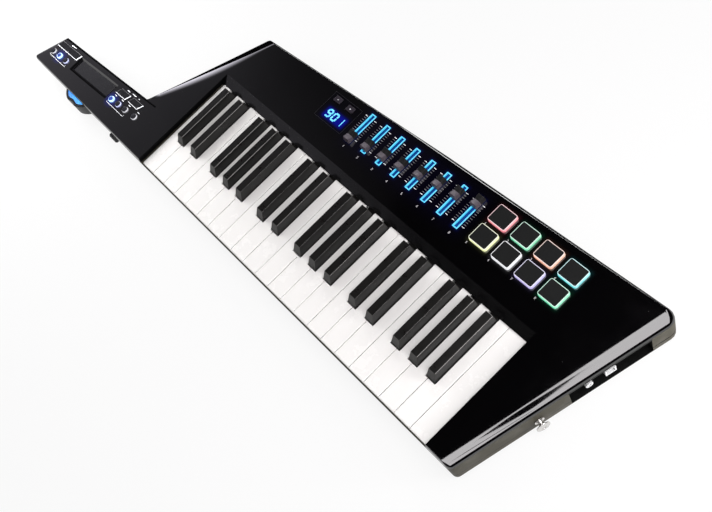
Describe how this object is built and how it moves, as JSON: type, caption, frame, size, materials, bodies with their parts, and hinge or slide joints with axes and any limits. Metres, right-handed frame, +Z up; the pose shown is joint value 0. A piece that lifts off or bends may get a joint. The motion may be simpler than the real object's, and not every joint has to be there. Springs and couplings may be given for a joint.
{
  "type": "keytar",
  "caption": "Shoulder-strap keyboard controller with a control neck, hinged piano keys, slide faders, square pads, a side wheel and a strap peg on a glossy black two-part casing.",
  "frame": {"origin": "on the flat underside, below the middle of the key well", "axes": "+X towards the high notes, +Y from the key fronts to the rear of the panel, +Z up"},
  "size_m": [0.8786, 0.2615, 0.0498],
  "materials": {
    "gloss_black": "polished",
    "olive_grey": "fine moulded grain",
    "frame_grey": "moulded",
    "board_green": "solder mask",
    "socket_silver": "plated sockets on a board",
    "smoked": "smoked window",
    "rubber": "soft silicone",
    "dark_plastic": "satin",
    "chrome": "polished",
    "ivory": "semi-gloss",
    "ebony": "satin",
    "cap_grey": "satin"
  },
  "bodies": {
    "casing": {"top_shell": "gloss_black", "bottom_shell": "olive_grey", "keybed_frame": "frame_grey", "circuit_board": "board_green", "connector_board": "socket_silver", "display_window": "smoked", "touch_strip": "dark_plastic", "strap_peg": "chrome", "battery_door": "dark_plastic"},
    "white_key_01": {"white_key_01": "ivory"},
    "white_key_02": {"white_key_02": "ivory"},
    "white_key_03": {"white_key_03": "ivory"},
    "white_key_04": {"white_key_04": "ivory"},
    "white_key_05": {"white_key_05": "ivory"},
    "white_key_06": {"white_key_06": "ivory"},
    "white_key_07": {"white_key_07": "ivory"},
    "white_key_08": {"white_key_08": "ivory"},
    "white_key_09": {"white_key_09": "ivory"},
    "white_key_10": {"white_key_10": "ivory"},
    "white_key_11": {"white_key_11": "ivory"},
    "white_key_12": {"white_key_12": "ivory"},
    "white_key_13": {"white_key_13": "ivory"},
    "white_key_14": {"white_key_14": "ivory"},
    "white_key_15": {"white_key_15": "ivory"},
    "white_key_16": {"white_key_16": "ivory"},
    "white_key_17": {"white_key_17": "ivory"},
    "white_key_18": {"white_key_18": "ivory"},
    "white_key_19": {"white_key_19": "ivory"},
    "white_key_20": {"white_key_20": "ivory"},
    "white_key_21": {"white_key_21": "ivory"},
    "white_key_22": {"white_key_22": "ivory"},
    "black_key_01": {"black_key_01": "ebony"},
    "black_key_02": {"black_key_02": "ebony"},
    "black_key_03": {"black_key_03": "ebony"},
    "black_key_04": {"black_key_04": "ebony"},
    "black_key_05": {"black_key_05": "ebony"},
    "black_key_06": {"black_key_06": "ebony"},
    "black_key_07": {"black_key_07": "ebony"},
    "black_key_08": {"black_key_08": "ebony"},
    "black_key_09": {"black_key_09": "ebony"},
    "black_key_10": {"black_key_10": "ebony"},
    "black_key_11": {"black_key_11": "ebony"},
    "black_key_12": {"black_key_12": "ebony"},
    "black_key_13": {"black_key_13": "ebony"},
    "black_key_14": {"black_key_14": "ebony"},
    "black_key_15": {"black_key_15": "ebony"},
    "fader_cap_1": {"fader_cap_1": "cap_grey"},
    "fader_cap_2": {"fader_cap_2": "cap_grey"},
    "fader_cap_3": {"fader_cap_3": "cap_grey"},
    "fader_cap_4": {"fader_cap_4": "cap_grey"},
    "fader_cap_5": {"fader_cap_5": "cap_grey"},
    "fader_cap_6": {"fader_cap_6": "cap_grey"},
    "fader_cap_7": {"fader_cap_7": "cap_grey"},
    "fader_cap_8": {"fader_cap_8": "cap_grey"},
    "neck_wheel": {"neck_wheel": "dark_plastic"},
    "thumb_rocker": {"thumb_rocker": "dark_plastic"},
    "pad_sheet": {"pad_sheet": "rubber"},
    "display_keypad": {"display_keypad": "rubber"},
    "head_keypad": {"head_keypad": "rubber"},
    "neck_keypad": {"neck_keypad": "rubber"}
  },
  "joints": [
    {"name": "white_key_01_press", "type": "hinge", "parent": "casing", "child": "white_key_01", "pos_m": [-0.24675, 0.09525, 0.021], "axis": [1, 0, 0], "range_deg": [0, 3.45], "stiffness_Nm_per_rad": 0.3, "springref_deg": -17.19},
    {"name": "white_key_02_press", "type": "hinge", "parent": "casing", "child": "white_key_02", "pos_m": [-0.22325, 0.09525, 0.021], "axis": [1, 0, 0], "range_deg": [0, 3.45], "stiffness_Nm_per_rad": 0.3, "springref_deg": -17.19},
    {"name": "white_key_03_press", "type": "hinge", "parent": "casing", "child": "white_key_03", "pos_m": [-0.19975, 0.09525, 0.021], "axis": [1, 0, 0], "range_deg": [0, 3.45], "stiffness_Nm_per_rad": 0.3, "springref_deg": -17.19},
    {"name": "white_key_04_press", "type": "hinge", "parent": "casing", "child": "white_key_04", "pos_m": [-0.17625, 0.09525, 0.021], "axis": [1, 0, 0], "range_deg": [0, 3.45], "stiffness_Nm_per_rad": 0.3, "springref_deg": -17.19},
    {"name": "white_key_05_press", "type": "hinge", "parent": "casing", "child": "white_key_05", "pos_m": [-0.15275, 0.09525, 0.021], "axis": [1, 0, 0], "range_deg": [0, 3.45], "stiffness_Nm_per_rad": 0.3, "springref_deg": -17.19},
    {"name": "white_key_06_press", "type": "hinge", "parent": "casing", "child": "white_key_06", "pos_m": [-0.12925, 0.09525, 0.021], "axis": [1, 0, 0], "range_deg": [0, 3.45], "stiffness_Nm_per_rad": 0.3, "springref_deg": -17.19},
    {"name": "white_key_07_press", "type": "hinge", "parent": "casing", "child": "white_key_07", "pos_m": [-0.10575, 0.09525, 0.021], "axis": [1, 0, 0], "range_deg": [0, 3.45], "stiffness_Nm_per_rad": 0.3, "springref_deg": -17.19},
    {"name": "white_key_08_press", "type": "hinge", "parent": "casing", "child": "white_key_08", "pos_m": [-0.08225, 0.09525, 0.021], "axis": [1, 0, 0], "range_deg": [0, 3.45], "stiffness_Nm_per_rad": 0.3, "springref_deg": -17.19},
    {"name": "white_key_09_press", "type": "hinge", "parent": "casing", "child": "white_key_09", "pos_m": [-0.05875, 0.09525, 0.021], "axis": [1, 0, 0], "range_deg": [0, 3.45], "stiffness_Nm_per_rad": 0.3, "springref_deg": -17.19},
    {"name": "white_key_10_press", "type": "hinge", "parent": "casing", "child": "white_key_10", "pos_m": [-0.03525, 0.09525, 0.021], "axis": [1, 0, 0], "range_deg": [0, 3.45], "stiffness_Nm_per_rad": 0.3, "springref_deg": -17.19},
    {"name": "white_key_11_press", "type": "hinge", "parent": "casing", "child": "white_key_11", "pos_m": [-0.01175, 0.09525, 0.021], "axis": [1, 0, 0], "range_deg": [0, 3.45], "stiffness_Nm_per_rad": 0.3, "springref_deg": -17.19},
    {"name": "white_key_12_press", "type": "hinge", "parent": "casing", "child": "white_key_12", "pos_m": [0.01175, 0.09525, 0.021], "axis": [1, 0, 0], "range_deg": [0, 3.45], "stiffness_Nm_per_rad": 0.3, "springref_deg": -17.19},
    {"name": "white_key_13_press", "type": "hinge", "parent": "casing", "child": "white_key_13", "pos_m": [0.03525, 0.09525, 0.021], "axis": [1, 0, 0], "range_deg": [0, 3.45], "stiffness_Nm_per_rad": 0.3, "springref_deg": -17.19},
    {"name": "white_key_14_press", "type": "hinge", "parent": "casing", "child": "white_key_14", "pos_m": [0.05875, 0.09525, 0.021], "axis": [1, 0, 0], "range_deg": [0, 3.45], "stiffness_Nm_per_rad": 0.3, "springref_deg": -17.19},
    {"name": "white_key_15_press", "type": "hinge", "parent": "casing", "child": "white_key_15", "pos_m": [0.08225, 0.09525, 0.021], "axis": [1, 0, 0], "range_deg": [0, 3.45], "stiffness_Nm_per_rad": 0.3, "springref_deg": -17.19},
    {"name": "white_key_16_press", "type": "hinge", "parent": "casing", "child": "white_key_16", "pos_m": [0.10575, 0.09525, 0.021], "axis": [1, 0, 0], "range_deg": [0, 3.45], "stiffness_Nm_per_rad": 0.3, "springref_deg": -17.19},
    {"name": "white_key_17_press", "type": "hinge", "parent": "casing", "child": "white_key_17", "pos_m": [0.12925, 0.09525, 0.021], "axis": [1, 0, 0], "range_deg": [0, 3.45], "stiffness_Nm_per_rad": 0.3, "springref_deg": -17.19},
    {"name": "white_key_18_press", "type": "hinge", "parent": "casing", "child": "white_key_18", "pos_m": [0.15275, 0.09525, 0.021], "axis": [1, 0, 0], "range_deg": [0, 3.45], "stiffness_Nm_per_rad": 0.3, "springref_deg": -17.19},
    {"name": "white_key_19_press", "type": "hinge", "parent": "casing", "child": "white_key_19", "pos_m": [0.17625, 0.09525, 0.021], "axis": [1, 0, 0], "range_deg": [0, 3.45], "stiffness_Nm_per_rad": 0.3, "springref_deg": -17.19},
    {"name": "white_key_20_press", "type": "hinge", "parent": "casing", "child": "white_key_20", "pos_m": [0.19975, 0.09525, 0.021], "axis": [1, 0, 0], "range_deg": [0, 3.45], "stiffness_Nm_per_rad": 0.3, "springref_deg": -17.19},
    {"name": "white_key_21_press", "type": "hinge", "parent": "casing", "child": "white_key_21", "pos_m": [0.22325, 0.09525, 0.021], "axis": [1, 0, 0], "range_deg": [0, 3.45], "stiffness_Nm_per_rad": 0.3, "springref_deg": -17.19},
    {"name": "white_key_22_press", "type": "hinge", "parent": "casing", "child": "white_key_22", "pos_m": [0.24675, 0.09525, 0.021], "axis": [1, 0, 0], "range_deg": [0, 3.45], "stiffness_Nm_per_rad": 0.3, "springref_deg": -17.19},
    {"name": "black_key_01_press", "type": "hinge", "parent": "casing", "child": "black_key_01", "pos_m": [-0.23744, 0.09525, 0.021], "axis": [1, 0, 0], "range_deg": [0, 3.45], "stiffness_Nm_per_rad": 0.3, "springref_deg": -17.19},
    {"name": "black_key_02_press", "type": "hinge", "parent": "casing", "child": "black_key_02", "pos_m": [-0.20915, 0.09525, 0.021], "axis": [1, 0, 0], "range_deg": [0, 3.45], "stiffness_Nm_per_rad": 0.3, "springref_deg": -17.19},
    {"name": "black_key_03_press", "type": "hinge", "parent": "casing", "child": "black_key_03", "pos_m": [-0.16753, 0.09525, 0.021], "axis": [1, 0, 0], "range_deg": [0, 3.45], "stiffness_Nm_per_rad": 0.3, "springref_deg": -17.19},
    {"name": "black_key_04_press", "type": "hinge", "parent": "casing", "child": "black_key_04", "pos_m": [-0.14105, 0.09525, 0.021], "axis": [1, 0, 0], "range_deg": [0, 3.45], "stiffness_Nm_per_rad": 0.3, "springref_deg": -17.19},
    {"name": "black_key_05_press", "type": "hinge", "parent": "casing", "child": "black_key_05", "pos_m": [-0.11456, 0.09525, 0.021], "axis": [1, 0, 0], "range_deg": [0, 3.45], "stiffness_Nm_per_rad": 0.3, "springref_deg": -17.19},
    {"name": "black_key_06_press", "type": "hinge", "parent": "casing", "child": "black_key_06", "pos_m": [-0.07294, 0.09525, 0.021], "axis": [1, 0, 0], "range_deg": [0, 3.45], "stiffness_Nm_per_rad": 0.3, "springref_deg": -17.19},
    {"name": "black_key_07_press", "type": "hinge", "parent": "casing", "child": "black_key_07", "pos_m": [-0.04465, 0.09525, 0.021], "axis": [1, 0, 0], "range_deg": [0, 3.45], "stiffness_Nm_per_rad": 0.3, "springref_deg": -17.19},
    {"name": "black_key_08_press", "type": "hinge", "parent": "casing", "child": "black_key_08", "pos_m": [-0.00303, 0.09525, 0.021], "axis": [1, 0, 0], "range_deg": [0, 3.45], "stiffness_Nm_per_rad": 0.3, "springref_deg": -17.19},
    {"name": "black_key_09_press", "type": "hinge", "parent": "casing", "child": "black_key_09", "pos_m": [0.02345, 0.09525, 0.021], "axis": [1, 0, 0], "range_deg": [0, 3.45], "stiffness_Nm_per_rad": 0.3, "springref_deg": -17.19},
    {"name": "black_key_10_press", "type": "hinge", "parent": "casing", "child": "black_key_10", "pos_m": [0.04994, 0.09525, 0.021], "axis": [1, 0, 0], "range_deg": [0, 3.45], "stiffness_Nm_per_rad": 0.3, "springref_deg": -17.19},
    {"name": "black_key_11_press", "type": "hinge", "parent": "casing", "child": "black_key_11", "pos_m": [0.09156, 0.09525, 0.021], "axis": [1, 0, 0], "range_deg": [0, 3.45], "stiffness_Nm_per_rad": 0.3, "springref_deg": -17.19},
    {"name": "black_key_12_press", "type": "hinge", "parent": "casing", "child": "black_key_12", "pos_m": [0.11985, 0.09525, 0.021], "axis": [1, 0, 0], "range_deg": [0, 3.45], "stiffness_Nm_per_rad": 0.3, "springref_deg": -17.19},
    {"name": "black_key_13_press", "type": "hinge", "parent": "casing", "child": "black_key_13", "pos_m": [0.16147, 0.09525, 0.021], "axis": [1, 0, 0], "range_deg": [0, 3.45], "stiffness_Nm_per_rad": 0.3, "springref_deg": -17.19},
    {"name": "black_key_14_press", "type": "hinge", "parent": "casing", "child": "black_key_14", "pos_m": [0.18795, 0.09525, 0.021], "axis": [1, 0, 0], "range_deg": [0, 3.45], "stiffness_Nm_per_rad": 0.3, "springref_deg": -17.19},
    {"name": "black_key_15_press", "type": "hinge", "parent": "casing", "child": "black_key_15", "pos_m": [0.21444, 0.09525, 0.021], "axis": [1, 0, 0], "range_deg": [0, 3.45], "stiffness_Nm_per_rad": 0.3, "springref_deg": -17.19},
    {"name": "fader_cap_1_slide", "type": "slide", "parent": "casing", "child": "fader_cap_1", "axis": [0, 1, 0], "range_m": [-0.00138, 0.03302]},
    {"name": "fader_cap_2_slide", "type": "slide", "parent": "casing", "child": "fader_cap_2", "axis": [0, 1, 0], "range_m": [-0.00585, 0.02855]},
    {"name": "fader_cap_3_slide", "type": "slide", "parent": "casing", "child": "fader_cap_3", "axis": [0, 1, 0], "range_m": [-0.00894, 0.02546]},
    {"name": "fader_cap_4_slide", "type": "slide", "parent": "casing", "child": "fader_cap_4", "axis": [0, 1, 0], "range_m": [-0.01238, 0.02202]},
    {"name": "fader_cap_5_slide", "type": "slide", "parent": "casing", "child": "fader_cap_5", "axis": [0, 1, 0], "range_m": [-0.01789, 0.01651]},
    {"name": "fader_cap_6_slide", "type": "slide", "parent": "casing", "child": "fader_cap_6", "axis": [0, 1, 0], "range_m": [-0.0227, 0.0117]},
    {"name": "fader_cap_7_slide", "type": "slide", "parent": "casing", "child": "fader_cap_7", "axis": [0, 1, 0], "range_m": [-0.0258, 0.0086]},
    {"name": "fader_cap_8_slide", "type": "slide", "parent": "casing", "child": "fader_cap_8", "axis": [0, 1, 0], "range_m": [-0.03199, 0.00241]},
    {"name": "neck_wheel_turn", "type": "hinge", "parent": "casing", "child": "neck_wheel", "pos_m": [-0.4255, -0.04775, 0.0217], "axis": [0, 0, 1], "range_deg": [-25, 25], "stiffness_Nm_per_rad": 0.05},
    {"name": "thumb_rocker_tilt", "type": "hinge", "parent": "casing", "child": "thumb_rocker", "pos_m": [-0.3345, -0.06685, 0.021], "axis": [1, 0, 0], "range_deg": [-6, 6], "stiffness_Nm_per_rad": 0.02},
    {"name": "pad_sheet_press", "type": "slide", "parent": "casing", "child": "pad_sheet", "axis": [0, 0, -1], "range_m": [0, 0.0008], "stiffness_N_per_m": 4000, "springref_m": -0.0003},
    {"name": "display_keypad_press", "type": "slide", "parent": "casing", "child": "display_keypad", "axis": [0, 0, -1], "range_m": [0, 0.0006], "stiffness_N_per_m": 1500, "springref_m": -0.0003},
    {"name": "head_keypad_press", "type": "slide", "parent": "casing", "child": "head_keypad", "axis": [0, 0, -1], "range_m": [0, 0.0006], "stiffness_N_per_m": 1500, "springref_m": -0.0003},
    {"name": "neck_keypad_press", "type": "slide", "parent": "casing", "child": "neck_keypad", "axis": [0, 0, -1], "range_m": [0, 0.0006], "stiffness_N_per_m": 1500, "springref_m": -0.0003}
  ]
}
